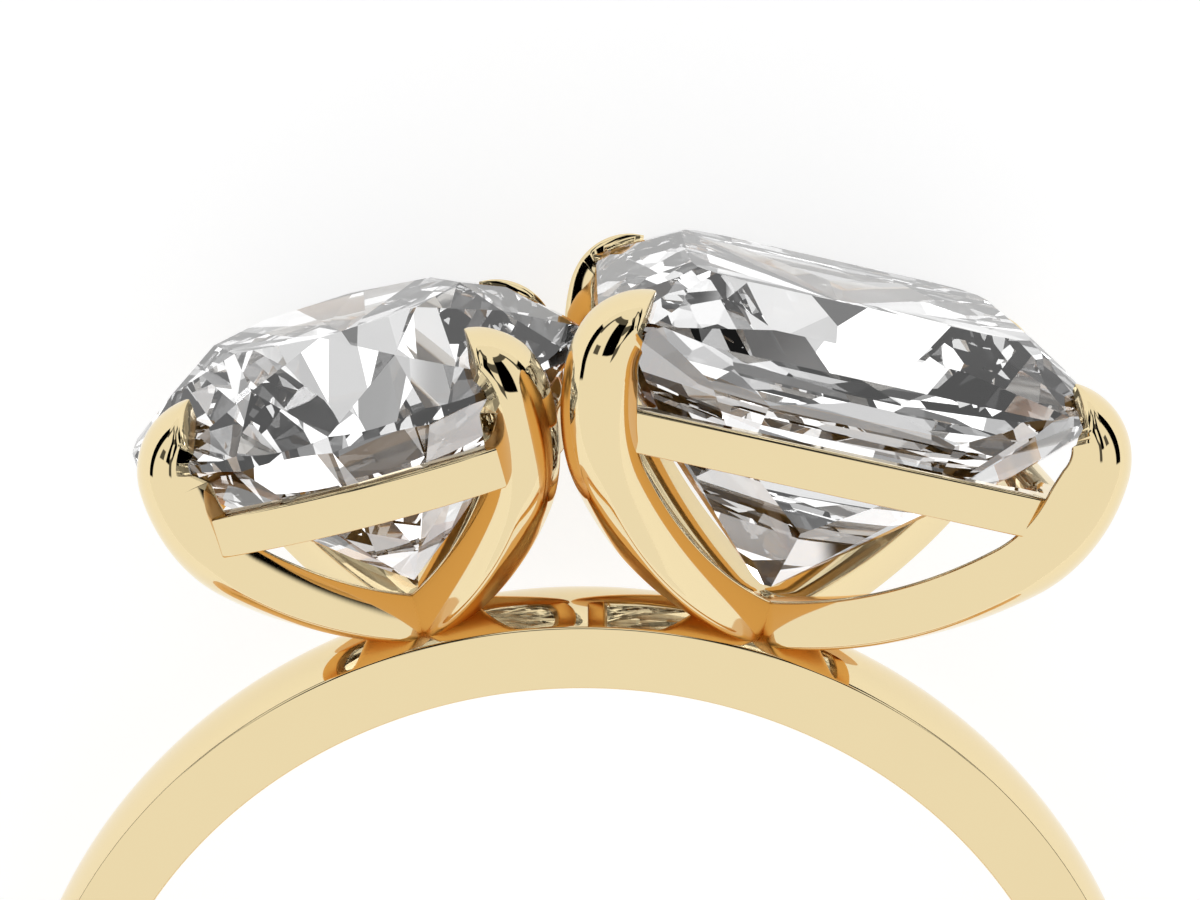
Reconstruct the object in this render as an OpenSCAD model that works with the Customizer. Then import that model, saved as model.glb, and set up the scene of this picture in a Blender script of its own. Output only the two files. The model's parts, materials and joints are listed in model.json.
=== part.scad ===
// Toi et moi ring: a domed gold band that carries two leaning claw heads,
// one with a round brilliant stone and one with a cut-cornered rectangular stone.
// The ring lies on its side. The origin is the centre of the finger hole.

/* [Band] */
// Radius of the finger hole
bore_r = 8.5; // [7.5:0.25:10.5]
// Width of the band along the finger
band_w = 1.9; // [1.6:0.1:2.8]
// Height of the band's flat sides
band_side = 1.04; // [0.8:0.05:1.8]
// Rise of the domed outer surface above the flat sides
band_dome = 0.3; // [0.15:0.05:0.6]
// Radius of the band's rounded edges
band_edge = 0.08; // [0.04:0.02:0.14]

/* [Round stone] */
// Diameter of the round stone
round_d = 7.25; // [6.4:0.05:8]
// Slope of the round stone's pavilion
round_pavilion = 40.75; // [39:0.25:43]
// Slope of the round stone's crown
round_crown = 35; // [31:0.5:38]
// Share of the diameter that the round table takes
round_table = 0.51; // [0.48:0.01:0.6]

/* [Rectangular stone] */
// Length of the rectangular stone
rect_l = 7.6; // [6.8:0.1:8.4]
// Width of the rectangular stone
rect_w = 7; // [6.2:0.1:7.6]
// Length that each cropped corner takes off a side
rect_corner = 0.65; // [0.5:0.05:1.2]
// Depth from the rectangular stone's girdle to its point
rect_pavilion = 4.25; // [3.9:0.05:4.6]
// Height of the rectangular stone's crown
rect_crown = 0.85; // [0.7:0.05:1.2]
// Share of the outline that the rectangular table takes
rect_table = 0.68; // [0.6:0.02:0.76]
// Thickness of both stones at the girdle
girdle = 0.24; // [0.12:0.02:0.4]

/* [Heads] */
// Angle round the band from its top to the round stone's point
round_at = 15.2; // [14:0.2:18]
// Lean of the round head away from the middle
round_lean = 14.5; // [10:0.5:18]
// Height of the round stone's point above the band's crest
round_lift = 0.55; // [0.4:0.05:0.9]
// Angle round the band from its top to the rectangular stone's point
rect_at = 16.95; // [16:0.2:20]
// Lean of the rectangular head away from the middle
rect_lean = 12.6; // [10:0.2:18]
// Height of the rectangular stone's point above the band's crest
rect_lift = 0.28; // [0.2:0.05:0.7]

/* [Claws] */
// Width of a claw
claw_w = 0.95; // [0.75:0.05:1.15]
// Thickness of a claw
claw_t = 0.7; // [0.56:0.02:0.84]
// Radius of the claws' rounded edges
claw_edge = 0.17; // [0.08:0.01:0.22]
// How far the round head's claws stand out past the stone
round_claw_out = 0.48; // [0.4:0.02:0.6]
// How far the rectangular head's claws stand out past the cropped corners
rect_claw_out = 0.6; // [0.46:0.02:0.66]
// Radius of the round head's claws at their widest
round_belly_r = 2.65; // [2.2:0.05:3]
// Radius of the rectangular head's claws at their widest
rect_belly_r = 2.85; // [2.4:0.05:3.3]
// Height from the round head's claws at their widest up to the girdle
round_belly_drop = 0.16; // [0.06:0.02:0.34]
// Height from the rectangular head's claws at their widest up to the girdle
rect_belly_drop = 0.42; // [0.3:0.02:0.6]
// Radius of the claws' long lower sweep
claw_sweep_r = 10; // [9:0.5:14]
// Slope at which the lower sweep turns into the belly
claw_turn = 45; // [41:1:49]
// Radius of a claw where it folds over the crown
claw_tip_r = 1.22; // [1.1:0.02:1.4]
// Angle that a claw's tip folds through
claw_fold = 84; // [70:1:90]
// Length over which a claw's tip narrows to its point
claw_point = 0.95; // [0.7:0.05:1.1]
// Gap between the stones and the metal
seat_gap = 0.02; // [0.01:0.005:0.05]

/* [Gallery rails] */
// Height of a rail
rail_h = 0.62; // [0.45:0.02:0.8]
// Thickness of a rail
rail_t = 0.44; // [0.32:0.02:0.55]
// Width of the ledge that a rail leaves outside the stone
rail_ledge = 0.3; // [0.2:0.02:0.4]
// Height from the round head's rail up to the girdle
round_rail_drop = 0.68; // [0.56:0.02:0.84]
// Height from the rectangular head's rail up to the girdle
rect_rail_drop = 0.92; // [0.8:0.02:1.1]
// Outward bow of the round head's rail between two claws
rail_bow = 0.48; // [0.3:0.02:0.8]

/* [Hidden] */
$fn = 96;

GOLD = "#ecd9ac";
STONE = "#e8eef2";

side_r = bore_r + band_side;
crest_r = side_r + band_dome;
dome_r = (pow(band_w / 2, 2) + pow(band_dome, 2)) / (2 * band_dome);
dome_x = crest_r - dome_r;

round_r = round_d / 2;
round_depth = round_r * tan(round_pavilion);
round_claw_at = 45;
rect_a = rect_l / 2;
rect_b = rect_w / 2;
corner_u = rect_a - rect_corner / 2;
corner_v = rect_b - rect_corner / 2;
rect_claw_at = atan2(corner_v, corner_u);
corner_reach = norm([corner_u, corner_v]);

// A head is [outer reach of its claws, height of their widest point, belly radius, claw azimuth]
ROUND_CLAW = [round_r + round_claw_out, round_depth - round_belly_drop, round_belly_r, round_claw_at];
RECT_CLAW = [corner_reach + rect_claw_out, rect_pavilion - rect_belly_drop, rect_belly_r, rect_claw_at];

// Geometry helpers

function unit(v) = v / norm(v);

// Direction on the outline plane of a stone
function spoke(a) = [cos(a), sin(a), 0];

// A facet is [outward normal, distance from the stone's point]
function facet_through(a, b, c) =
    let (n = unit(cross(b - a, c - a)))
    [n, n * a];

function crown_facet(azimuth, reach, height, slope) =
    [[sin(slope) * cos(azimuth), sin(slope) * sin(azimuth), cos(slope)],
     reach * sin(slope) + height * cos(slope)];

function pavilion_facet(azimuth, reach, height, slope) =
    [[sin(slope) * cos(azimuth), sin(slope) * sin(azimuth), -cos(slope)],
     reach * sin(slope) - height * cos(slope)];

// What lies beyond a facet's plane
module beyond(facet, grow, size) {
    n = facet[0];
    translate(n * (facet[1] + grow))
        rotate([0, acos(n.z), atan2(n.y, n.x)])
            translate([-size / 2, -size / 2, 0])
                cube(size);
}

// A solid cut down to a stone by its facets; the hull only closes the convex result
module cut_stone(facets, grow, size) {
    hull()
        difference() {
            children();
            for (facet = facets)
                beyond(facet, grow, size);
        }
}

// Round brilliant

round_table_r = round_table * round_r / cos(22.5);
round_crown_z = round_depth + girdle;
round_top_z = round_crown_z + (round_r - round_table_r) * tan(round_crown);
// Shares of the stone's radius where the half facets end
lower_half_end = 0.23;
star_end = 0.5;

function round_star(k) =
    let (reach = round_table_r + star_end * (round_r - round_table_r))
    reach * spoke(45 * k + 22.5)
    + [0, 0, round_top_z - (reach * cos(22.5) - round_table_r) * tan(round_crown)];

function round_low(k) =
    let (reach = lower_half_end * round_r)
    reach * spoke(45 * k + 22.5) + [0, 0, reach * cos(22.5) * tan(round_pavilion)];

function round_rim(azimuth, z) = round_r * spoke(azimuth) + [0, 0, z];

function round_table_corner(k) = round_table_r * spoke(45 * k) + [0, 0, round_top_z];

ROUND_FACETS = [
    [[0, 0, 1], round_top_z],
    for (k = [0:7]) each [
        pavilion_facet(45 * k, 0, 0, round_pavilion),
        facet_through(round_low(k), round_rim(45 * k + 22.5, round_depth), round_rim(45 * k, round_depth)),
        facet_through(round_low(k), round_rim(45 * k + 45, round_depth), round_rim(45 * k + 22.5, round_depth)),
        crown_facet(45 * k, round_r, round_crown_z, round_crown),
        facet_through(round_table_corner(k), round_star(k), round_table_corner(k + 1)),
        facet_through(round_star(k), round_rim(45 * k, round_crown_z), round_rim(45 * k + 22.5, round_crown_z)),
        facet_through(round_star(k), round_rim(45 * k + 22.5, round_crown_z), round_rim(45 * k + 45, round_crown_z))
    ]
];

module round_cut(grow = 0) {
    cut_stone(ROUND_FACETS, grow, 3 * round_d)
        translate([0, 0, -1])
            cylinder(r = round_r + grow, h = round_top_z + 2);
}

// Cut-cornered rectangle

rect_top_z = rect_pavilion + girdle + rect_crown;

// How far the outline reaches along an azimuth
function rect_reach(a) =
    let (u = abs(cos(a)), v = abs(sin(a)))
    max(rect_a * u + (rect_b - rect_corner) * v, (rect_a - rect_corner) * u + rect_b * v);

// Facets of a quadrant: [azimuth, slopes added at the girdle and at the point, at the girdle and at the table]
RECT_ROWS = [
    [0, 9, -2.5, 9, -5],
    [17, 8, -1.5, 7, -3],
    [45, 9, -2, 8, -4],
    [73, 8, -1.5, 7, -3]
];

function rect_pavilion_slope(a) = atan2(rect_pavilion, rect_reach(a));
function rect_crown_slope(a) = atan2(rect_crown, (1 - rect_table) * rect_reach(a));

// How far the pavilion reaches along a side's azimuth at a height
function rect_pavilion_reach(a, z) =
    let (row = RECT_ROWS[0], slope = rect_pavilion_slope(a))
    min(z / tan(slope + row[2]), rect_reach(a) - (rect_pavilion - z) / tan(slope + row[1]));

RECT_FACETS = [
    [[0, 0, 1], rect_top_z],
    for (quarter = [0:3], row = RECT_ROWS)
        let (a = 90 * quarter + row[0], reach = rect_reach(a))
        each [
            pavilion_facet(a, reach, rect_pavilion, rect_pavilion_slope(a) + row[1]),
            pavilion_facet(a, 0, 0, rect_pavilion_slope(a) + row[2]),
            crown_facet(a, reach, rect_pavilion + girdle, rect_crown_slope(a) + row[3]),
            crown_facet(a, rect_table * reach, rect_top_z, rect_crown_slope(a) + row[4])
        ],
    for (quarter = [0:3])
        crown_facet(90 * quarter + 45, rect_reach(45), 0, 90)
];

module rect_cut(grow = 0) {
    cut_stone(RECT_FACETS, grow, 3 * rect_l)
        translate([-rect_a - grow, -rect_b - grow, -1])
            cube([rect_l + 2 * grow, rect_w + 2 * grow, rect_top_z + 2]);
}

// Band

// Steps of a rounded edge and of half the dome
edge_steps = 4;
dome_steps = 9;

function arc_points(centre, radius, from, to, steps) =
    [for (i = [0:steps])
        let (a = from + (to - from) * i / steps)
        centre + radius * [cos(a), sin(a)]];

// One half of the band's section, from the bore out to the crest
half_section =
    let (
        edge_y = band_w / 2 - band_edge,
        edge_x = dome_x + sqrt(pow(dome_r - band_edge, 2) - pow(edge_y, 2)),
        dome_end = asin(edge_y / (dome_r - band_edge))
    )
    [
        each arc_points([bore_r + band_edge, edge_y], band_edge, 180, 90, edge_steps),
        each arc_points([edge_x, edge_y], band_edge, 90, dome_end, edge_steps),
        for (i = [1:dome_steps])
            [dome_x, 0] + dome_r * [cos(dome_end * (1 - i / dome_steps)), sin(dome_end * (1 - i / dome_steps))]
    ];

module band_profile() {
    last = len(half_section) - 1;
    polygon([
        each half_section,
        for (i = [1:last])
            [half_section[last - i].x, -half_section[last - i].y]
    ]);
}

module band() {
    rotate([90, 0, 0])
        rotate_extrude()
            band_profile();
}

// Claws

// How much slimmer than the belly a claw's sweep and tip are, and how far they run into it
claw_step = 0.006;
claw_lap = 0.06;

module claw_profile(inset) {
    flat_t = claw_t - 2 * claw_edge;
    flat_w = claw_w - 2 * claw_edge;
    square([flat_t, claw_w - 2 * inset], center = true);
    square([claw_t - 2 * inset, flat_w], center = true);
    for (i = [-1, 1], j = [-1, 1])
        translate([i * flat_t / 2, j * flat_w / 2])
            circle(claw_edge - inset);
}

// A bar bent on an outer radius, from one slope of its path to another
module bent_bar(centre, radius, from, to, inset) {
    translate([centre.x, 0, centre.y])
        rotate([90, 0, 0])
            rotate([0, 0, from - 90])
                rotate_extrude(angle = to - from)
                    translate([radius - claw_t / 2, 0])
                        claw_profile(inset);
}

function lap_angle(radius) = asin(claw_lap / radius);

// Where the lower end of a claw's outer side starts, out from the head's axis
foot_start = 0.2;
// How much wider than the claw the outline of its point is where the two meet
point_spare = 0.02;

module claw_point_outline(tip_x) {
    half = claw_w / 2 + point_spare;
    ogive_r = (pow(claw_point, 2) + pow(half, 2)) / (2 * half);
    intersection_for (side = [-1, 1])
        translate([tip_x + claw_point, side * (half - ogive_r)])
            circle(ogive_r);
    translate([tip_x + claw_point, -claw_w])
        square([2 * claw_tip_r, 2 * claw_w]);
}

// A claw in the plane of x and z, with the head's axis at x = 0
module claw(head) {
    belly = [head[0] - head[2], head[1]];
    sweep = belly + (head[2] - claw_sweep_r) * [sin(claw_turn), -cos(claw_turn)];
    foot_slope = asin((foot_start - sweep.x) / claw_sweep_r);
    tip = [head[0] - claw_tip_r, head[1]];
    bent_bar(sweep, claw_sweep_r, foot_slope, claw_turn + lap_angle(claw_sweep_r), claw_step);
    bent_bar(belly, head[2], claw_turn, 90, 0);
    intersection() {
        bent_bar(tip, claw_tip_r, 90 - lap_angle(claw_tip_r), 90 + claw_fold, claw_step);
        translate([0, 0, tip.y - claw_t])
            linear_extrude(2 * claw_tip_r)
                claw_point_outline(tip.x + claw_tip_r * cos(claw_fold));
    }
}

module claws(head) {
    for (a = [head[3], 180 - head[3], 180 + head[3], -head[3]])
        rotate([0, 0, a])
            claw(head);
}

// Gallery rails

module round_rail_outline(inset) {
    middle = (round_depth - round_rail_drop) / tan(round_pavilion) + rail_ledge;
    side = middle - rail_bow;
    bow_r = (pow(side, 2) + pow(rail_bow, 2)) / (2 * rail_bow);
    intersection_for (a = [0:90:270])
        rotate([0, 0, a])
            translate([middle - bow_r, 0])
                circle(bow_r - inset);
}

module rect_rail_outline(inset) {
    top_z = rect_pavilion - rect_rail_drop;
    reach = [rect_pavilion_reach(0, top_z), rect_pavilion_reach(90, top_z)];
    square(2 * (reach + (rail_ledge - inset) * [1, 1]), center = true);
}

module rail(top_z) {
    translate([0, 0, top_z - rail_h])
        linear_extrude(rail_h)
            difference() {
                children(0);
                children(1);
            }
}

// Places on the ring as it stands upright, with the finger along Y

module at_round_head() {
    rotate([0, -round_at, 0])
        translate([0, 0, crest_r + round_lift])
            rotate([0, round_at - round_lean, 0])
                children();
}

module at_rect_head() {
    rotate([0, rect_at, 0])
        translate([0, 0, crest_r + rect_lift])
            rotate([0, rect_lean - rect_at, 0])
                children();
}

module upright_metal() {
    difference() {
        union() {
            band();
            at_round_head() {
                claws(ROUND_CLAW);
                rail(round_depth - round_rail_drop) {
                    round_rail_outline(0);
                    round_rail_outline(rail_t);
                }
            }
            at_rect_head() {
                claws(RECT_CLAW);
                rail(rect_pavilion - rect_rail_drop) {
                    rect_rail_outline(0);
                    rect_rail_outline(rail_t);
                }
            }
        }
        at_round_head()
            round_cut(seat_gap);
        at_rect_head()
            rect_cut(seat_gap);
    }
}

// The ring lies on the band's rim and on the two back claws of the rectangular head

// Axes of a head as the ring stands upright: [the stone's point, across, along the finger, up through the stone]
RECT_AXES = [
    (crest_r + rect_lift) * [sin(rect_at), 0, cos(rect_at)],
    [cos(rect_lean), 0, -sin(rect_lean)],
    [0, 1, 0],
    [sin(rect_lean), 0, cos(rect_lean)]
];

// Point of a claw that reaches furthest in a direction
function claw_reach(head, axes, azimuth, towards) =
    let (
        out = cos(azimuth) * axes[1] + sin(azimuth) * axes[2],
        side = cos(azimuth) * axes[2] - sin(azimuth) * axes[1],
        bend = unit((towards * out) * out + (towards * axes[3]) * axes[3])
    )
    axes[0] + (head[0] - head[2]) * out + head[1] * axes[3] + (head[2] - claw_edge) * bend
    + (claw_w / 2 - claw_edge) * sign(towards * side) * side + claw_edge * unit(towards);

// Slopes of the floor's plane against the upright ring, found by repeated correction
function floor_slopes(slopes, rounds) =
    rounds == 0 ? slopes :
    let (
        towards = [slopes[0], 1, slopes[1]],
        outer = claw_reach(RECT_CLAW, RECT_AXES, rect_claw_at, towards),
        inner = claw_reach(RECT_CLAW, RECT_AXES, 180 - rect_claw_at, towards),
        sag = side_r * norm(slopes) + band_w / 2,
        area = outer.x * inner.z - inner.x * outer.z,
        across = ((sag - outer.y) * inner.z - (sag - inner.y) * outer.z) / area,
        along = ((sag - inner.y) * outer.x - (sag - outer.y) * inner.x) / area
    )
    floor_slopes([across, along], rounds - 1);

FLOOR = floor_slopes([0, 0], 60);

module lying() {
    turn = atan(FLOOR[0]);
    dip = atan(FLOOR[1] * cos(turn));
    rotate([-90 - dip, 0, 0])
        rotate([0, 0, turn])
            children();
}

module gold_ring() {
    color(GOLD)
        lying()
            upright_metal();
}

module round_stone() {
    color(STONE)
        lying()
            at_round_head()
                round_cut();
}

module rectangular_stone() {
    color(STONE)
        lying()
            at_rect_head()
                rect_cut();
}

gold_ring();
round_stone();
rectangular_stone();
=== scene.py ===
"""Polished look of a toi et moi ring: band, claws, rails, two stones and a plain pale stage.

All lengths are in metres. The ring is worked out upright, with the finger along Y and the
heads at the top, and is then laid on its side as the packed parts are.
"""

import json
import math

import bmesh
import bpy
from bpy.props import FloatProperty, FloatVectorProperty, PointerProperty
from mathutils import Matrix, Vector


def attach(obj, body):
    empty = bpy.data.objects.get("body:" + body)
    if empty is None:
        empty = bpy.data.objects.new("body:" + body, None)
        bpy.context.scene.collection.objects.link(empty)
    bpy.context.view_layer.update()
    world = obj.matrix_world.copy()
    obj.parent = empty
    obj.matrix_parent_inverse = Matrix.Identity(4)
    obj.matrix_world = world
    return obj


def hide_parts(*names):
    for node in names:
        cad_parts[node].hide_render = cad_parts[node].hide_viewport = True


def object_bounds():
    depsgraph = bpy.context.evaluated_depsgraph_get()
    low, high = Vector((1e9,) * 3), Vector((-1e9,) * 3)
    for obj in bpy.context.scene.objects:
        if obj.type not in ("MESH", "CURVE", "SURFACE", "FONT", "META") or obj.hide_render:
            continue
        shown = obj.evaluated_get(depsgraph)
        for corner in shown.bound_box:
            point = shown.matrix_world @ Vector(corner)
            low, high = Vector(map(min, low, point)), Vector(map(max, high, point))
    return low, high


bl_info = {
    "name": "Toi et moi ring",
    "version": (1, 0, 0),
    "blender": (4, 5, 0),
    "location": "View3D > Sidebar > Ring",
    "description": "Band, claws, gallery rails and stones of a toi et moi ring on a pale stage",
    "category": "Add Mesh",
}

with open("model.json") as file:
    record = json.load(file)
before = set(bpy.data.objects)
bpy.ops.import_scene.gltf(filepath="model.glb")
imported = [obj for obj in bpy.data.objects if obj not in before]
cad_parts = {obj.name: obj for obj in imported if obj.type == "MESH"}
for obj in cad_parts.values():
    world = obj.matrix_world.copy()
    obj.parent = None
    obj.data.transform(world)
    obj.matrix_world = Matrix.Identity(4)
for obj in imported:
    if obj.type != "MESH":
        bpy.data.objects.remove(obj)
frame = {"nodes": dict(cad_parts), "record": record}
CAD_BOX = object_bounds()
MM = 0.001
WELD = 1e-7
SHARP = math.radians(30)
BORE = next(m for m in frame["record"]["mounts"] if m["name"] == "bore")


# Places

def lying_on_its_side():
    """Turn from the upright ring to the packed one, read from the finger hole's axis."""
    axis = Vector(BORE["axis"]).normalized()
    turn = math.asin(axis.x)
    dip = math.atan2(axis.y, axis.z)
    return Matrix.Rotation(-math.pi / 2 - dip, 4, "X") @ Matrix.Rotation(turn, 4, "Z")


LYING = lying_on_its_side()


def head_place(head, crest):
    """Place of a head: origin at its stone's point, Z up through the stone."""
    return (
        LYING
        @ Matrix.Rotation(head.place, 4, "Y")
        @ Matrix.Translation((0, 0, crest + head.lift))
        @ Matrix.Rotation(head.lean - head.place, 4, "Y")
    )


# Meshes

def crest_radius(band):
    return band.bore_radius + band.side + band.dome


def new_piece(name, verts, faces, material, sharp=SHARP):
    """A mesh object that rides on the ring and takes the slot's finish."""
    mesh = bpy.data.meshes.new(name)
    mesh.from_pydata([tuple(v) for v in verts], [], faces)
    mesh.validate()
    piece = bpy.data.objects.new(name, mesh)
    bpy.context.scene.collection.objects.link(piece)
    mesh.materials.append(material)
    finish_mesh(mesh, sharp)
    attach(piece, "root")
    return piece


def finish_mesh(mesh, sharp):
    bm = bmesh.new()
    bm.from_mesh(mesh)
    bmesh.ops.recalc_face_normals(bm, faces=bm.faces)
    bm.to_mesh(mesh)
    bm.free()
    mesh.polygons.foreach_set("use_smooth", [True] * len(mesh.polygons))
    mesh.set_sharp_from_angle(angle=sharp)


def grid_faces(rows, columns, close_rows=False):
    """Quads of a tube whose rings have so many columns."""
    faces = []
    for i in range(rows if close_rows else rows - 1):
        a, b = i * columns, (i + 1) % rows * columns
        for j in range(columns):
            k = (j + 1) % columns
            faces.append((a + j, a + k, b + k, b + j))
    return faces


def evaluated(piece):
    """Applies a piece's modifiers to its mesh."""
    graph = bpy.context.evaluated_depsgraph_get()
    mesh = bpy.data.meshes.new_from_object(piece.evaluated_get(graph))
    piece.modifiers.clear()
    old, piece.data = piece.data, mesh
    mesh.name = old.name
    bpy.data.meshes.remove(old)
    return mesh


def cut_by_stone(piece, node, gap):
    """Cuts the seat of a stone out of the metal, with a little room round the stone."""
    stone = frame["nodes"][node]
    mesh = stone.data.copy()
    bm = bmesh.new()
    bm.from_mesh(mesh)
    bmesh.ops.remove_doubles(bm, verts=bm.verts, dist=WELD)
    middle = sum((v.co for v in bm.verts), Vector()) / len(bm.verts)
    reach = max((v.co - middle).length for v in bm.verts)
    larger = Vector((1, 1, 1)) * (1 + gap / reach)
    bmesh.ops.scale(bm, vec=larger, space=Matrix.Translation(-middle), verts=bm.verts)
    bm.to_mesh(mesh)
    bm.free()
    cutter = bpy.data.objects.new("seat_cutter", mesh)
    bpy.context.scene.collection.objects.link(cutter)
    cut = piece.modifiers.new("seat", "BOOLEAN")
    cut.operation, cut.solver, cut.object = "DIFFERENCE", "EXACT", cutter
    bpy.context.view_layer.update()
    mesh = evaluated(piece)
    bpy.data.objects.remove(cutter)
    while len(mesh.materials) > 1:
        mesh.materials.pop()
    finish_mesh(mesh, SHARP)


def even_normals(piece):
    """Keeps flat faces flat beside their rounded edges."""
    weights = piece.modifiers.new("even_normals", "WEIGHTED_NORMAL")
    weights.keep_sharp = True
    weights.weight = 60
    evaluated(piece)


# Band

BAND_STEPS = 288
# The band's rounded edges stay smooth up to this angle
BAND_SHARP = math.radians(60)


def arc(centre, radius, start, end, steps):
    turns = [start + (end - start) * i / steps for i in range(steps + 1)]
    return [(centre[0] + radius * math.cos(a), centre[1] + radius * math.sin(a)) for a in turns]


def band_section(band):
    """Outline of the band's section: distance from the hole's axis, place along the finger."""
    half, edge = band.width / 2, band.edge
    rise = band.dome
    dome_r = (half ** 2 + rise ** 2) / (2 * rise)
    dome_x = crest_radius(band) - dome_r
    edge_y = half - edge
    edge_x = dome_x + math.sqrt((dome_r - edge) ** 2 - edge_y ** 2)
    end = math.asin(edge_y / (dome_r - edge))
    upper = (
        arc((band.bore_radius + edge, edge_y), edge, math.pi, math.pi / 2, 6)
        + arc((edge_x, edge_y), edge, math.pi / 2, end, 8)
        + arc((dome_x, 0), dome_r, end, 0, 16)[1:]
    )
    return upper + [(x, -y) for x, y in reversed(upper[:-1])]


def build_band(band, material):
    section = band_section(band)
    faces = grid_faces(BAND_STEPS, len(section), True)
    verts = []
    for i in range(BAND_STEPS):
        a = 2 * math.pi * i / BAND_STEPS
        verts += [LYING @ Vector((x * math.sin(a), y, x * math.cos(a))) for x, y in section]
    piece = new_piece("band", verts, faces, material, BAND_SHARP)
    even_normals(piece)
    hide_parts("gold_ring")


# Claws

# Where a claw changes, as shares of its length: where it starts to thin towards the tip and
# over how much it does, and the same for the rise of its outer face
THINS_FROM, THINS_OVER = 0.74, 0.16
DOMES_FROM, DOMES_OVER = 0.35, 0.35
# The round foot: its length as a share of the claw's thickness at the tip, how far it drops,
# and the least half width at its very end as a share of the claw's
NOSE_LENGTH, NOSE_DROP, NOSE_END = 0.6, 0.8, 0.12
# How bluntly the tip narrows
TIP_BLUNTNESS = 1.9


def claw_section(claws, half, low, high, dome):
    """A bar with a domed outer face: points as (across, height)."""
    wide = claws.width / 2
    dome_r = (wide ** 2 + dome ** 2) / (2 * dome)
    edge = min(claws.edge, 0.4 * half)
    end = math.asin((half - edge) / (dome_r - edge))
    corner = high - dome_r + (dome_r - edge) * math.cos(end)
    under = min(claws.under_edge, 0.4 * half, 0.9 * max(corner - low, 1e-7))
    right = [
        (dome_r * math.sin(a), high - dome_r + dome_r * math.cos(a))
        for a in (end * i / 7 for i in range(8))
    ]
    right += [
        (half - edge + edge * math.sin(a), corner + edge * math.cos(a))
        for a in (end + (math.pi / 2 - end) * i / 4 for i in range(1, 5))
    ]
    right += arc((half - under, low + under), under, 0, -math.pi / 2, 4)
    return right + [(-b, t) for b, t in reversed(right)][:-1]


def claw_path(head, claws):
    """Stations along a claw's outer side: (place out, height, slope, length so far)."""
    belly = Vector((head.reach - head.belly_radius, head.belly_height))
    lean = math.pi / 4
    towards_foot = Vector((math.sin(lean), -math.cos(lean)))
    sweep = belly + (head.belly_radius - claws.sweep_radius) * towards_foot
    tip = Vector((head.reach - claws.tip_radius, head.belly_height))
    foot = math.asin((claws.foot - sweep.x) / claws.sweep_radius)
    runs = [
        (sweep, claws.sweep_radius, foot, lean, 44),
        (belly, head.belly_radius, lean, math.pi / 2, 24),
        (tip, claws.tip_radius, math.pi / 2, math.pi / 2 + claws.fold, 44),
    ]
    stations, length = [], 0
    for centre, radius, start, end, steps in runs:
        for i in range(steps + 1):
            if i == 0 and stations:
                continue
            a = start + (end - start) * i / steps
            if i:
                length += radius * (end - start) / steps
            x, z = centre.x + radius * math.sin(a), centre.y - radius * math.cos(a)
            stations.append((x, z, a, length))
    return stations


def smooth(x):
    x = min(max(x, 0), 1)
    return x * x * (3 - 2 * x)


def claw_rings(head, claws, azimuth, place):
    """Rings of a claw: a round foot, an even bar and a tip that narrows to a point."""
    out = Vector((math.cos(azimuth), math.sin(azimuth), 0))
    side = Vector((-math.sin(azimuth), math.cos(azimuth), 0))
    up = Vector((0, 0, 1))
    stations = claw_path(head, claws)
    total = stations[-1][3]
    wide = claws.width / 2
    nose = claws.thickness * NOSE_LENGTH
    rings = []
    for x, z, slope, length in stations:
        normal = out * math.sin(slope) - up * math.cos(slope)
        point = out * x + up * z
        # The foot is round in plan, and its end is round from the side
        short = max(wide - length, 0)
        half = math.sqrt(max(wide ** 2 - short ** 2, (NOSE_END * wide) ** 2))
        drop = 1 - math.sqrt(max(1 - (max(nose - length, 0) / nose) ** 2, 0))
        along = length / total
        thinning = smooth((along - THINS_FROM) / THINS_OVER)
        thickness = claws.foot_thickness + (claws.thickness - claws.foot_thickness) * thinning
        low, high = -thickness, -drop * nose * NOSE_DROP
        # The tip narrows to a point and gets thinner
        share = min((total - length) / claws.point, 1)
        half = min(half, wide, wide * (1 - (1 - share) ** TIP_BLUNTNESS) + claws.tip_end)
        high -= claws.tip_drop * (1 - share) ** 2
        doming = smooth((along - DOMES_FROM) / DOMES_OVER)
        dome = claws.foot_dome + (claws.dome - claws.foot_dome) * doming
        section = claw_section(claws, half, low, high, dome)
        rings.append([place @ (point + side * b + normal * t) for b, t in section])
    return rings


def build_claws(prefix, head, claws, band, stone, material):
    place = head_place(head, crest_radius(band))
    at = head.claw_azimuth
    spots = {
        "front_left": math.pi + at,
        "front_right": -at,
        "back_right": at,
        "back_left": math.pi - at,
    }
    for spot, azimuth in spots.items():
        rings = claw_rings(head, claws, azimuth, place)
        columns = len(rings[0])
        verts = [v for ring in rings for v in ring]
        faces = grid_faces(len(rings), columns)
        faces += [tuple(range(columns)), tuple(range(len(verts) - columns, len(verts)))]
        piece = new_piece(f"{prefix}_claw_{spot}", verts, faces, material)
        cut_by_stone(piece, stone, claws.seat_gap)
        even_normals(piece)
        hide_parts("gold_ring")


# Gallery rails

def rail_section(rail):
    """Rounded rectangle as (inset from the outline, height under the rail's top)."""
    t, h, e = rail.thickness, rail.height, rail.edge
    points = arc((e, -e), e, math.pi, math.pi / 2, 5)
    points += arc((t - e, -e), e, math.pi / 2, 0, 5)
    points += arc((t - e, e - h), e, 0, -math.pi / 2, 5)
    points += arc((e, e - h), e, -math.pi / 2, -math.pi, 5)
    return points


def bowed_side(middle, bow, inset, steps):
    """Quarter of a rail that bows out between two claws, about the X axis."""
    if bow < 1e-9:
        x = middle - inset
        return [(x, x * (2 * i / steps - 1)) for i in range(steps)]
    side = middle - bow
    radius = (side ** 2 + bow ** 2) / (2 * bow)
    away, r = radius - middle, radius - inset
    corner = (math.sqrt(2 * r * r - away * away) - away) / 2
    end = math.asin(corner / r)
    return [
        (r * math.cos(a) - away, r * math.sin(a))
        for a in (end * (2 * i / steps - 1) for i in range(steps))
    ]


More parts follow.
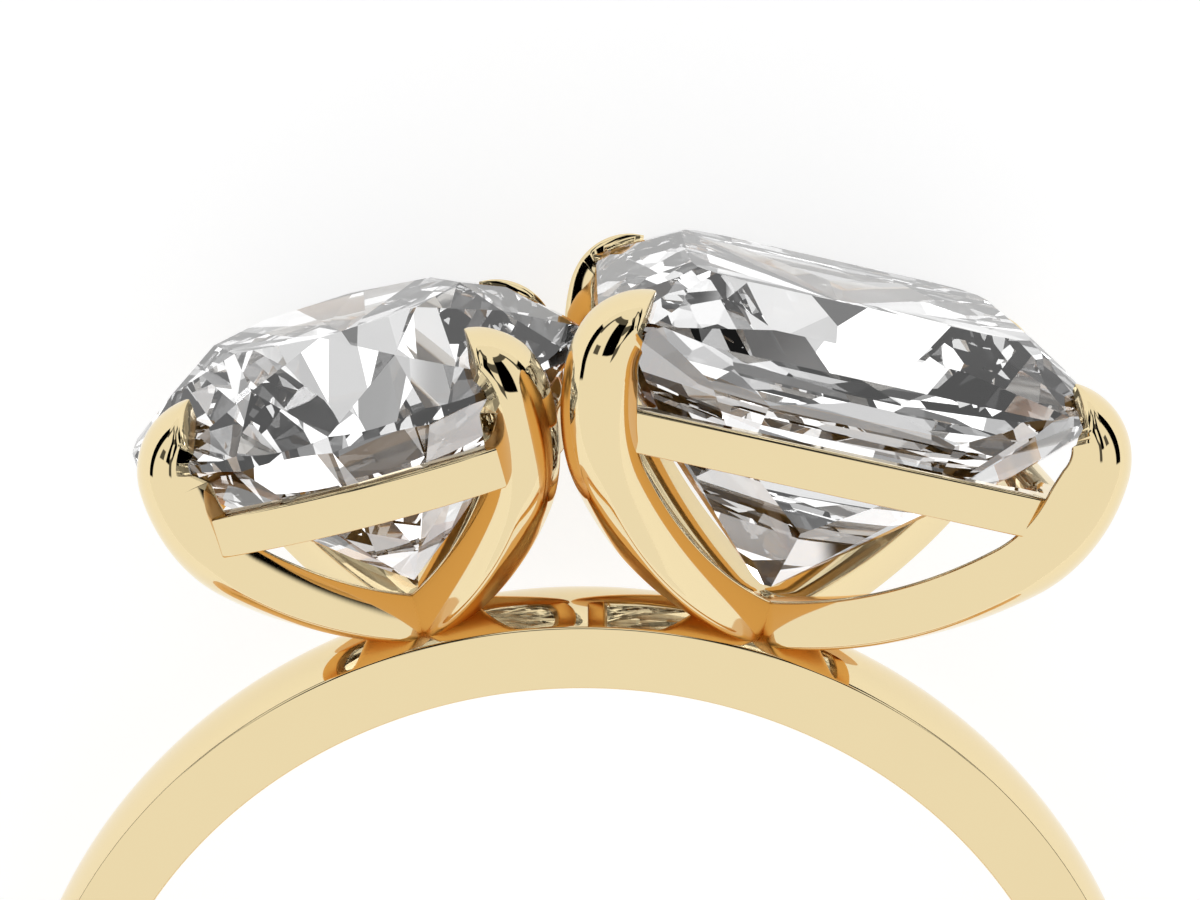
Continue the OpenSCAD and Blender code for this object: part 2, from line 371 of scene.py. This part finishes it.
def rail_outline(head, inset):
    points = []
    for quarter in range(4):
        turn = Matrix.Rotation(math.pi / 2 * quarter, 2)
        for x, y in bowed_side(head.rail_reach, head.rail_bow, inset, 24):
            points.append(turn @ Vector((x, y)))
    if head.rail_bow < 1e-9:
        wide, painted_reflection_colour = head.rail_reach - inset, head.rail_depth - inset
        scale = Vector((1, painted_reflection_colour / wide))
        points = [Vector((p.x, p.y * scale.y)) for p in points]
    return points


def build_rail(name, head, rail, band, stone, material, gap):
    place = head_place(head, crest_radius(band))
    loops = []
    for inset, height in rail_section(rail):
        outline = rail_outline(head, inset)
        loops.append([place @ Vector((p.x, p.y, head.rail_top + height)) for p in outline])
    verts = [v for loop in loops for v in loop]
    faces = grid_faces(len(loops), len(loops[0]), True)
    piece = new_piece(name, verts, faces, material)
    cut_by_stone(piece, stone, gap)
    even_normals(piece)
    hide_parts("gold_ring")


# Stones

# Extra facets under the rectangular stone's girdle, for each quarter: azimuth, slope and
# how deep each shaves the ridges (degrees, degrees and millimetres)
SHAVES = (
    (-3.0, 57.5, 0.12),
    (3.0, 57.5, 0.12),
    (-14.0, 55.0, 0.16),
    (14.0, 55.0, 0.16),
    (0.0, 51.5, 0.14),
    (-9.0, 52.0, 0.08),
    (9.0, 52.0, 0.08),
    (-6.0, 47.5, 0.06),
    (6.0, 47.5, 0.06),
    (-13.0, 44.5, 0.14),
    (13.0, 44.5, 0.14),
    (-21.0, 49.0, 0.12),
    (21.0, 49.0, 0.12),
    (33.0, 42.0, 0.12),
    (57.0, 42.0, 0.12),
    (31.0, 47.5, 0.1),
    (59.0, 47.5, 0.1),
    (45.0, 46.5, 0.1),
    (38.0, 52.0, 0.06),
    (52.0, 52.0, 0.06),
)
# The same over its girdle
CROWN_SHAVES = (
    (-4.0, 36.0, 0.05),
    (4.0, 36.0, 0.05),
    (-13.0, 29.0, 0.04),
    (13.0, 29.0, 0.04),
    (30.0, 30.0, 0.05),
    (60.0, 30.0, 0.05),
)


def build_rectangular_stone(head, band, material):
    """The packed stone with its big facets split as a brilliant cut's are."""
    bm = bmesh.new()
    bm.from_mesh(frame["nodes"]["rectangular_stone"].data)
    bmesh.ops.remove_doubles(bm, verts=bm.verts, dist=WELD)
    turn = head_place(head, crest_radius(band)).to_3x3()
    rows = [(row, -1) for row in SHAVES] + [(row, 1) for row in CROWN_SHAVES]
    for quarter in range(4):
        for (azimuth, slope, depth), way in rows:
            a, s = math.radians(azimuth + 90 * quarter), math.radians(slope)
            flat = math.sin(s)
            normal = turn @ Vector((flat * math.cos(a), flat * math.sin(a), way * math.cos(s)))
            furthest = max(v.co.dot(normal) for v in bm.verts)
            cut = bmesh.ops.bisect_plane(
                bm,
                geom=bm.verts[:] + bm.edges[:] + bm.faces[:],
                dist=1e-8,
                plane_co=normal * (furthest - depth * MM),
                plane_no=normal,
                clear_outer=True,
            )
            edges = [e for e in cut["geom_cut"] if isinstance(e, bmesh.types.BMEdge)]
            bmesh.ops.contextual_create(bm, geom=edges)
    bmesh.ops.recalc_face_normals(bm, faces=bm.faces)
    mesh = bpy.data.meshes.new("rectangular_cut")
    bm.to_mesh(mesh)
    bm.free()
    mesh.polygons.foreach_set("use_smooth", [False] * len(mesh.polygons))
    mesh.materials.append(material)
    piece = bpy.data.objects.new("rectangular_cut", mesh)
    bpy.context.scene.collection.objects.link(piece)
    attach(piece, "root")
    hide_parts("rectangular_stone")


# Finishes

# How far a finish's colour and roughness wander, as shares of their middle
PALER = 0.985
SMOOTHER, ROUGHER = 0.7, 1.4
MARKS_HEIGHT = 0.000002


def link(tree, source, target):
    tree.links.new(source, target)


def fine_polish_group():
    """Polishing marks: a roughness that wanders a little, and a height for a faint bump."""
    group = bpy.data.node_groups.get("fine_polish")
    if group:
        return group
    group = bpy.data.node_groups.new("fine_polish", "ShaderNodeTree")
    for name, kind, way in (
        ("Scale", "NodeSocketFloat", "INPUT"),
        ("Low", "NodeSocketFloat", "INPUT"),
        ("High", "NodeSocketFloat", "INPUT"),
        ("Roughness", "NodeSocketFloat", "OUTPUT"),
        ("Height", "NodeSocketFloat", "OUTPUT"),
        ("Cloud", "NodeSocketFloat", "OUTPUT"),
    ):
        group.interface.new_socket(name=name, in_out=way, socket_type=kind)
    nodes = group.nodes
    source, sink = nodes.new("NodeGroupInput"), nodes.new("NodeGroupOutput")
    where = nodes.new("ShaderNodeTexCoord")
    cloud = nodes.new("ShaderNodeTexNoise")
    cloud.inputs["Detail"].default_value = 3
    link(group, where.outputs["Object"], cloud.inputs["Vector"])
    link(group, source.outputs["Scale"], cloud.inputs["Scale"])
    stretch = nodes.new("ShaderNodeMapping")
    stretch.inputs["Scale"].default_value = (1, 14, 3)
    link(group, where.outputs["Object"], stretch.inputs["Vector"])
    marks = nodes.new("ShaderNodeTexNoise")
    marks.inputs["Detail"].default_value = 4
    link(group, stretch.outputs["Vector"], marks.inputs["Vector"])
    link(group, source.outputs["Scale"], marks.inputs["Scale"])
    spread = nodes.new("ShaderNodeMapRange")
    link(group, cloud.outputs["Fac"], spread.inputs["Value"])
    spread.inputs["From Min"].default_value = 0.3
    spread.inputs["From Max"].default_value = 0.7
    link(group, source.outputs["Low"], spread.inputs["To Min"])
    link(group, source.outputs["High"], spread.inputs["To Max"])
    link(group, spread.outputs["Result"], sink.inputs["Roughness"])
    link(group, marks.outputs["Fac"], sink.inputs["Height"])
    link(group, cloud.outputs["Fac"], sink.inputs["Cloud"])
    return group


def math_node(tree, operation, *values):
    """A Math node's result; each value is a socket or a number."""
    node = tree.nodes.new("ShaderNodeMath")
    node.operation = operation
    for socket, value in zip(node.inputs, values):
        if isinstance(value, (int, float)):
            socket.default_value = value
        else:
            link(tree, value, socket)
    return node.outputs[0]


def group_node(tree, group, **values):
    node = tree.nodes.new("ShaderNodeGroup")
    node.node_tree = group
    for name, value in values.items():
        node.inputs[name].default_value = value
    return node


def empty_material(name):
    material = bpy.data.materials.new(name)
    material.use_nodes = True
    tree = material.node_tree
    shader = tree.nodes["Principled BSDF"]
    return material, tree, shader


def polished_gold(finish):
    """Bright yellow gold whose reflections of itself turn a deep orange."""
    found = bpy.data.materials.get("polished_gold")
    if found:
        return found
    material, tree, shader = empty_material("polished_gold")
    shader.inputs["Metallic"].default_value = 1
    low, high = finish.roughness * SMOOTHER, finish.roughness * ROUGHER
    polish = group_node(tree, fine_polish_group(), Scale=900, Low=low, High=high)
    paths = tree.nodes.new("ShaderNodeLightPath")
    blur = tree.nodes.new("ShaderNodeMix")
    link(tree, paths.outputs["Is Glossy Ray"], blur.inputs[0])
    link(tree, polish.outputs["Roughness"], blur.inputs[2])
    blur.inputs[3].default_value = finish.deep_roughness
    link(tree, blur.outputs[0], shader.inputs["Roughness"])
    drift = tree.nodes.new("ShaderNodeMix")
    drift.data_type = "RGBA"
    drift.inputs[6].default_value = (*finish.face, 1)
    drift.inputs[7].default_value = (*[c * PALER for c in finish.face], 1)
    link(tree, polish.outputs["Cloud"], drift.inputs[0])
    # Painted reflection: rays that bounce off the gold see it in the darker orange colour
    depth = tree.nodes.new("ShaderNodeMix")
    depth.data_type = "RGBA"
    link(tree, paths.outputs["Is Glossy Ray"], depth.inputs[0])
    link(tree, drift.outputs[2], depth.inputs[6])
    depth.inputs[7].default_value = (*finish.painted_reflection_colour, 1)
    # Painted shade: rays through the stones see the gold in a flat grey instead of its own colour
    through = tree.nodes.new("ShaderNodeMix")
    through.data_type = "RGBA"
    link(tree, paths.outputs["Is Transmission Ray"], through.inputs[0])
    link(tree, depth.outputs[2], through.inputs[6])
    through.inputs[7].default_value = (*finish.through, 1)
    link(tree, through.outputs[2], shader.inputs["Base Color"])
    bump = tree.nodes.new("ShaderNodeBump")
    bump.inputs["Strength"].default_value = finish.marks
    bump.inputs["Distance"].default_value = MARKS_HEIGHT
    link(tree, polish.outputs["Height"], bump.inputs["Height"])
    link(tree, bump.outputs["Normal"], shader.inputs["Normal"])
    return material


def clear_stone(finish):
    """Colourless faceted stone that bends light as diamond does."""
    found = bpy.data.materials.get("clear_stone")
    if found:
        return found
    material, tree, shader = empty_material("clear_stone")
    shader.inputs["Transmission Weight"].default_value = 1
    shader.inputs["IOR"].default_value = finish.ior
    shader.inputs["Roughness"].default_value = 0
    shader.inputs["Specular Tint"].default_value = (*finish.shine, 1)
    polish = group_node(tree, fine_polish_group(), Scale=400, Low=0, High=0.01)
    tint = tree.nodes.new("ShaderNodeMix")
    tint.data_type = "RGBA"
    tint.inputs[6].default_value = (*finish.tint, 1)
    tint.inputs[7].default_value = (*[c * PALER for c in finish.tint], 1)
    link(tree, polish.outputs["Cloud"], tint.inputs[0])
    link(tree, tint.outputs[2], shader.inputs["Base Color"])
    return material


# Stage

FLOOR_SIZE = 1.2


def pale_floor(studio):
    material, tree, shader = empty_material("pale_floor")
    shader.inputs["Base Color"].default_value = (*studio.floor_colour, 1)
    shader.inputs["Roughness"].default_value = 0.8
    shader.inputs["Specular IOR Level"].default_value = 0.1
    shader.inputs["Emission Color"].default_value = (1, 1, 1, 1)
    shader.inputs["Emission Strength"].default_value = studio.floor_glow
    half, low = FLOOR_SIZE / 2, CAD_BOX[0].z
    corners = [(-half, -half, low), (half, -half, low), (half, half, low), (-half, half, low)]
    mesh = bpy.data.meshes.new("floor")
    mesh.from_pydata(corners, [], [(0, 1, 2, 3)])
    mesh.materials.append(material)
    floor = bpy.data.objects.new("floor", mesh)
    bpy.context.scene.collection.objects.link(floor)
    floor.visible_transmission = False


# Panels of the room: name, centre and half width round the ring from the camera's side,
# lowest and highest elevation, softness of the edges (all in degrees), and brightness.
PANELS = (
    ("left_back_glow", -174.0, 14.0, -25, 30, 10.0, 1.3),
    ("left_glow", -120.0, 9.0, -15, 60, 3.0, 1.25),
    ("left_far_bar", -91.5, 11.5, -4, 50, 1.0, 0.0),
    ("left_near_bar", -31.0, 17.0, 20, 72, 1.0, 0.0),
    ("left_arch", -64.0, 6.0, 20, 31, 0.8, 0.1),
    ("left_corner", -80.0, 3.5, 44, 70, 0.8, 0.1),
    ("left_lintel", -50.0, 33.0, 66, 75, 0.8, 0.1),
    ("left_curtain", -141.0, 7.0, -25, 34, 1.5, 0.3),
    ("left_curtain_fade", -150.0, 6.0, -25, 34, 11.0, 0.6),
    ("right_back_glow", 174.0, 14.0, -25, 30, 10.0, 1.3),
    ("right_glow", 120.0, 9.0, -15, 60, 3.0, 1.25),
    ("right_far_bar", 91.5, 11.5, -4, 50, 1.0, 0.0),
    ("right_near_bar", 31.0, 17.0, 20, 72, 1.0, 0.0),
    ("right_arch", 64.0, 6.0, 20, 31, 0.8, 0.1),
    ("right_corner", 80.0, 3.5, 44, 70, 0.8, 0.1),
    ("right_lintel", 50.0, 33.0, 66, 75, 0.8, 0.1),
    ("right_curtain", 141.0, 7.0, -25, 34, 1.5, 0.6),
    ("right_curtain_fade", 150.0, 6.0, -25, 34, 11.0, 0.75),
    ("front_low_shade", 0.0, 16.0, 8, 26, 1.5, 0.1),
    ("front_high_shade", 0.0, 16.0, 46, 62, 1.5, 0.1),
)
# What only the stones pick up: a dark side where the camera is, and four small sparks
STONE_PANELS = (
    ("camera_side", 0.0, 50.0, -60, 30, 6.0, 0.05),
    ("spark_left", -112.0, 3.0, 24, 30, 1.0, 9.0),
    ("spark_right", 118.0, 3.0, 30, 36, 1.0, 9.0),
    ("spark_high", -20.0, 8.0, 78, 82, 1.0, 9.0),
    ("spark_front", 8.0, 3.0, 30, 36, 1.0, 9.0),
)
# The patches in the stones: which share of the pattern is darkest and lightest, and how
# bright those are against the room's light
PATCH_LEVELS = {"From Min": 0.12, "From Max": 0.66, "To Min": 0.05, "To Max": 1.4}


def panel_group():
    """A soft-edged panel, as a mask over directions."""
    group = bpy.data.node_groups.new("room_panel", "ShaderNodeTree")
    for name in ("Azimuth", "Elevation", "Middle", "Half width", "Low", "High", "Soft"):
        group.interface.new_socket(name=name, in_out="INPUT", socket_type="NodeSocketFloat")
    group.interface.new_socket(name="Mask", in_out="OUTPUT", socket_type="NodeSocketFloat")
    nodes = group.nodes
    source, sink = nodes.new("NodeGroupInput"), nodes.new("NodeGroupOutput")

    def ramp(room):
        """0 to 1 as the room inside an edge grows from none to the softness."""
        share = math_node(group, "DIVIDE", room, source.outputs["Soft"])
        node = nodes.new("ShaderNodeMapRange")
        node.interpolation_type = "SMOOTHSTEP"
        link(group, share, node.inputs["Value"])
        node.inputs["From Min"].default_value = -1
        return node.outputs["Result"]

    def less(a, b):
        return math_node(group, "SUBTRACT", a, b)

    given = source.outputs
    away = math_node(group, "ABSOLUTE", less(given["Azimuth"], given["Middle"]))
    across = ramp(less(given["Half width"], away))
    above = ramp(less(given["Elevation"], given["Low"]))
    below = ramp(less(given["High"], given["Elevation"]))
    mask = math_node(group, "MULTIPLY", math_node(group, "MULTIPLY", across, above), below)
    link(group, mask, sink.inputs["Mask"])
    return group


def soft_room(studio):
    """A pale room with a few dark panels, which the camera itself doesn't see."""
    scene = bpy.context.scene
    world = bpy.data.worlds.new("soft_room")
    world.use_nodes = True
    tree = world.node_tree
    nodes = tree.nodes
    where = nodes.new("ShaderNodeTexCoord")
    turn = nodes.new("ShaderNodeMapping")
    turn.inputs["Rotation"].default_value = LYING.inverted().to_euler()
    link(tree, where.outputs["Generated"], turn.inputs["Vector"])
    parts = nodes.new("ShaderNodeSeparateXYZ")
    link(tree, turn.outputs["Vector"], parts.inputs["Vector"])

    towards = math_node(tree, "MULTIPLY", parts.outputs["Y"], -1.0)
    round_it = math_node(tree, "ARCTAN2", parts.outputs["X"], towards)
    azimuth = math_node(tree, "DEGREES", round_it)
    elevation = math_node(tree, "DEGREES", math_node(tree, "ARCSINE", parts.outputs["Z"]))
    group = panel_group()

    def with_panels(light, panels):
        """The light with panels laid over it; the light is a socket or a number."""
        for name, middle, half, low, high, soft, value in panels:
            edges = {"Middle": middle, "Half width": half, "Low": low, "High": high, "Soft": soft}
            panel = group_node(tree, group, **edges)
            panel.name = name
            link(tree, azimuth, panel.inputs["Azimuth"])
            link(tree, elevation, panel.inputs["Elevation"])
            mix = nodes.new("ShaderNodeMix")
            link(tree, panel.outputs["Mask"], mix.inputs[0])
            if isinstance(light, float):
                mix.inputs[2].default_value = light
            else:
                link(tree, light, mix.inputs[2])
            mix.inputs[3].default_value = value * studio.room_light
            light = mix.outputs[0]
        return light

    light = with_panels(studio.room_light, PANELS)
    paths = nodes.new("ShaderNodeLightPath")
    patches = nodes.new("ShaderNodeTexVoronoi")
    patches.inputs["Scale"].default_value = studio.patches
    link(tree, turn.outputs["Vector"], patches.inputs["Vector"])
    levels = nodes.new("ShaderNodeMapRange")
    link(tree, patches.outputs["Color"], levels.inputs["Value"])
    for name, value in PATCH_LEVELS.items():
        levels.inputs[name].default_value = value
    patched = math_node(tree, "MULTIPLY", light, levels.outputs["Result"])
    in_stones = with_panels(patched, STONE_PANELS)
    for ray, other in (("Is Transmission Ray", in_stones), ("Is Camera Ray", None)):
        pick = nodes.new("ShaderNodeMix")
        link(tree, paths.outputs[ray], pick.inputs[0])
        link(tree, light, pick.inputs[2])
        if other:
            link(tree, other, pick.inputs[3])
        else:
            pick.inputs[3].default_value = 1.0
        light = pick.outputs[0]
    link(tree, light, nodes["Background"].inputs["Strength"])
    nodes["Background"].inputs["Color"].default_value = (1, 1, 1, 1)
    world.cycles.sampling_method = "NONE"
    scene.world = world


def camera_at(studio):
    data = bpy.data.cameras.new("camera")
    data.sensor_width = 36
    data.lens = studio.lens
    data.shift_x = studio.shift
    data.clip_start = 0.001
    data.clip_end = 10
    camera = bpy.data.objects.new("camera", data)
    bpy.context.scene.collection.objects.link(camera)
    look = Matrix.Rotation(math.pi / 2 - studio.camera_tilt, 4, "X")
    seat = Matrix.Translation((0, -studio.camera_back, studio.camera_height))
    camera.matrix_world = LYING @ seat @ look
    bpy.context.scene.camera = camera


# Sizes and finishes that a user may change

def length(name, value, text, low=0.0, high=0.05):
    limits = {"min": low, "max": high, "precision": 5}
    return FloatProperty(name=name, default=value * MM, description=text, unit="LENGTH", **limits)


def angle(name, value, text):
    turn = math.radians(value)
    return FloatProperty(name=name, default=turn, description=text, subtype="ANGLE")


def colour(name, value, text):
    return FloatVectorProperty(name=name, default=value, description=text, subtype="COLOR")


def amount(name, value, text, low=0.0, high=1.0):
    return FloatProperty(name=name, default=value, description=text, min=low, max=high)


class RingBand(bpy.types.PropertyGroup):
    bore_radius: length("Bore radius", 8.5, "Radius of the finger hole")
    width: length("Width", 1.9, "Width of the band along the finger")
    side: length("Side", 1.04, "Height of the band's flat sides")
    dome: length("Dome", 0.3, "Rise of the outer surface above the sides")
    edge: length("Edge", 0.08, "Radius of the rounded edges")


class RingClaws(bpy.types.PropertyGroup):
    width: length("Width", 0.95, "Width of a claw")
    thickness: length("Thickness", 0.58, "Thickness of a claw at its tip")
    foot_thickness: length("Foot thickness", 0.8, "Thickness of a claw up to its rail")
    dome: length("Dome", 0.15, "Rise of a claw's outer face at its tip")
    foot_dome: length("Foot dome", 0.04, "Rise of a claw's outer face at its foot")
    edge: length("Edge", 0.13, "Radius of the edges beside the outer face")
    under_edge: length("Under edge", 0.05, "Radius of the edges towards the stone")
    sweep_radius: length("Sweep radius", 10, "Radius of the long lower sweep")
    tip_radius: length("Tip radius", 1.22, "Radius where a claw folds over the crown")
    foot: length("Foot", 0.2, "Where a claw's lower end starts, out from the head's axis")
    point: length("Point", 1.3, "Length over which a tip narrows")
    tip_end: length("Tip end", 0.05, "Half the width of a tip's end")
    tip_drop: length("Tip drop", 0.05, "How far a tip thins towards its point")
    seat_gap: length("Seat gap", 0.02, "Gap between the metal and the stones")
    fold: angle("Fold", 84, "Angle that a tip folds through")


def head_class(name, values, places, text):
    """A group of a head's sizes: lengths in millimetres, then angles in degrees."""
    notes = {
        "lift": "Height of the stone's point above the band's crest",
        "reach": "Outer reach of the claws",
        "belly_radius": "Radius of the claws at their widest",
        "belly_height": "Height of the claws' widest point",
        "rail_reach": "Outer reach of the rail, across",
        "rail_depth": "Outer reach of the rail, along the finger",
        "rail_bow": "Outward bow of the rail",
        "rail_top": "Height of the rail's top",
        "place": "Angle round the band from its top",
        "lean": "Lean of the head away from the middle",
        "claw_azimuth": "Azimuth of the claws",
    }
    fields = {}
    for kind, sizes in ((length, values), (angle, places)):
        for key, value in sizes.items():
            fields[key] = kind(key.replace("_", " ").capitalize(), value, notes[key])
    return type(name, (bpy.types.PropertyGroup,), {"__doc__": text, "__annotations__": fields})


# The round stone's radius, its pavilion's slope and depth, and how far the rail's top is
# under the girdle
ROUND_RADIUS = 7.25 / 2
ROUND_SLOPE = math.tan(math.radians(40.75))
ROUND_DEPTH = ROUND_RADIUS * ROUND_SLOPE
ROUND_RAIL_TOP = ROUND_DEPTH - 0.68
RingRoundHead = head_class(
    "RingRoundHead",
    {
        "lift": 0.55,
        "reach": ROUND_RADIUS + 0.48,
        "belly_radius": 2.65,
        "belly_height": ROUND_DEPTH - 0.16,
        "rail_reach": ROUND_RAIL_TOP / ROUND_SLOPE + 0.3,
        "rail_depth": ROUND_RAIL_TOP / ROUND_SLOPE + 0.3,
        "rail_bow": 0.48,
        "rail_top": ROUND_RAIL_TOP,
    },
    {"place": -15.2, "lean": -14.5, "claw_azimuth": 45},
    "Sizes of the round stone's head",
)
# Middle of a cut corner of the rectangular stone, across and along the finger
RECT_CORNER = (3.475, 3.175)
RECT_DEPTH = 4.25
RingRectHead = head_class(
    "RingRectHead",
    {
        "lift": 0.28,
        "reach": math.hypot(*RECT_CORNER) + 0.6,
        "belly_radius": 2.85,
        "belly_height": RECT_DEPTH - 0.42,
        "rail_reach": 3.507,
        "rail_depth": 3.259,
        "rail_bow": 0,
        "rail_top": RECT_DEPTH - 0.92,
    },
    {
        "place": 16.95,
        "lean": 12.6,
        "claw_azimuth": math.degrees(math.atan2(RECT_CORNER[1], RECT_CORNER[0])),
    },
    "Sizes of the rectangular stone's head",
)


class RingRail(bpy.types.PropertyGroup):
    height: length("Height", 0.62, "Height of a rail")
    thickness: length("Thickness", 0.44, "Thickness of a rail")
    edge: length("Edge", 0.05, "Radius of a rail's edges")


class RingGold(bpy.types.PropertyGroup):
    face: colour("Face", (0.838, 0.694, 0.413), "Colour of the gold as it is seen")
    # Painted reflection colour: the gold's colour only on rays reflected off it
    painted_reflection_colour: colour("Deep", (0.78, 0.45, 0.15), "Colour of the gold where it reflects itself")
    # Painted shade: the gold's colour only on rays that come through the stones
    through: colour("Through", (0.55, 0.53, 0.5), "Colour of the gold through the stones")
    roughness: amount("Roughness", 0.03, "Middle roughness of the polish")
    deep_roughness: amount("Deep roughness", 0.32, "Roughness where the gold reflects itself")
    marks: amount("Marks", 0.02, "Strength of the polishing marks")


class RingStone(bpy.types.PropertyGroup):
    tint: colour("Tint", (1, 1, 1), "Body colour of the stones")
    shine: colour("Shine", (0.5, 0.5, 0.5), "Colour of the mirror-like shine")
    ior: amount("Refraction", 2.417, "Index of refraction", 1.0, 3.0)


class RingStudio(bpy.types.PropertyGroup):
    floor_colour: colour("Floor", (0.35, 0.35, 0.35), "Colour of the floor")
    floor_glow: amount("Floor glow", 0.78, "Light that comes up through the floor", 0.0, 10.0)
    room_light: amount("Room light", 1.0, "Strength of the room's even light", 0.0, 10.0)
    patches: amount("Patches", 4.2, "Fineness of the light patches in the stones", 0.0, 50.0)
    camera_back: length("Camera back", 30.6, "Distance of the camera in front of the ring")
    camera_height: length("Camera height", 19.82, "Height of the camera above the finger hole")
    camera_tilt: angle("Camera tilt", 14, "Angle that the camera looks down at")
    lens: amount("Lens", 59.49, "Focal length in millimetres", 1.0, 500.0)
    shift: amount("Shift", 0.0144, "Sideways shift of the picture", -1.0)


GROUPS = {
    "ring_band": RingBand,
    "ring_claws": RingClaws,
    "ring_round_head": RingRoundHead,
    "ring_rect_head": RingRectHead,
    "ring_rail": RingRail,
    "ring_gold": RingGold,
    "ring_stone": RingStone,
    "ring_studio": RingStudio,
}


# Operators

class RING_OT_band(bpy.types.Operator):
    """Build the domed band"""

    bl_idname = "ring.band"
    bl_label = "Band"

    def execute(self, context):
        scene = context.scene
        build_band(scene.ring_band, polished_gold(scene.ring_gold))
        return {"FINISHED"}


class RING_OT_claws(bpy.types.Operator):
    """Build the claws of both heads"""

    bl_idname = "ring.claws"
    bl_label = "Claws"

    def execute(self, context):
        scene = context.scene
        gold = polished_gold(scene.ring_gold)
        for name, head in (("round", scene.ring_round_head), ("rectangular", scene.ring_rect_head)):
            build_claws(name, head, scene.ring_claws, scene.ring_band, f"{name}_stone", gold)
        return {"FINISHED"}


class RING_OT_rails(bpy.types.Operator):
    """Build the gallery rail under each stone"""

    bl_idname = "ring.rails"
    bl_label = "Gallery rails"

    def execute(self, context):
        scene = context.scene
        gold = polished_gold(scene.ring_gold)
        rail, band, gap = scene.ring_rail, scene.ring_band, scene.ring_claws.seat_gap
        for name, head in (("round", scene.ring_round_head), ("rectangular", scene.ring_rect_head)):
            build_rail(f"{name}_rail", head, rail, band, f"{name}_stone", gold, gap)
        return {"FINISHED"}


class RING_OT_stones(bpy.types.Operator):
    """Give the cut stones their clear finish"""

    bl_idname = "ring.stones"
    bl_label = "Stones"

    def execute(self, context):
        scene = context.scene
        clear = clear_stone(scene.ring_stone)
        mesh = frame["nodes"]["round_stone"].data
        mesh.materials.clear()
        mesh.materials.append(clear)
        build_rectangular_stone(scene.ring_rect_head, scene.ring_band, clear)
        return {"FINISHED"}


class RING_OT_stage(bpy.types.Operator):
    """Lay the pale floor, light the room and set the camera"""

    bl_idname = "ring.stage"
    bl_label = "Stage"

    def execute(self, context):
        scene = context.scene
        pale_floor(scene.ring_studio)
        soft_room(scene.ring_studio)
        camera_at(scene.ring_studio)
        scene.view_settings.view_transform = "Standard"
        cycles = scene.cycles
        cycles.max_bounces = 14
        cycles.transmission_bounces = 14
        cycles.glossy_bounces = 8
        cycles.diffuse_bounces = 2
        return {"FINISHED"}


OPERATORS = (RING_OT_band, RING_OT_claws, RING_OT_rails, RING_OT_stones, RING_OT_stage)


class RING_PT_sidebar(bpy.types.Panel):
    """The ring's pieces and their sizes"""

    bl_idname = "RING_PT_sidebar"
    bl_label = "Toi et moi ring"
    bl_space_type = "VIEW_3D"
    bl_region_type = "UI"
    bl_category = "Ring"

    def draw(self, context):
        column = self.layout.column()
        for operator in OPERATORS:
            column.operator(operator.bl_idname)
        for name, group in GROUPS.items():
            box = self.layout.box()
            for field in group.__annotations__:
                box.prop(getattr(context.scene, name), field)


def register():
    for group in GROUPS.values():
        bpy.utils.register_class(group)
    for name, group in GROUPS.items():
        setattr(bpy.types.Scene, name, PointerProperty(type=group))
    for operator in OPERATORS:
        bpy.utils.register_class(operator)
    bpy.utils.register_class(RING_PT_sidebar)


def unregister():
    bpy.utils.unregister_class(RING_PT_sidebar)
    for operator in reversed(OPERATORS):
        bpy.utils.unregister_class(operator)
    for name in GROUPS:
        delattr(bpy.types.Scene, name)
    for group in reversed(GROUPS.values()):
        bpy.utils.unregister_class(group)


def main():
    register()
    bpy.ops.ring.stage()
    bpy.ops.ring.band()
    bpy.ops.ring.claws()
    bpy.ops.ring.rails()
    bpy.ops.ring.stones()


if __name__ == "__main__":
    main()
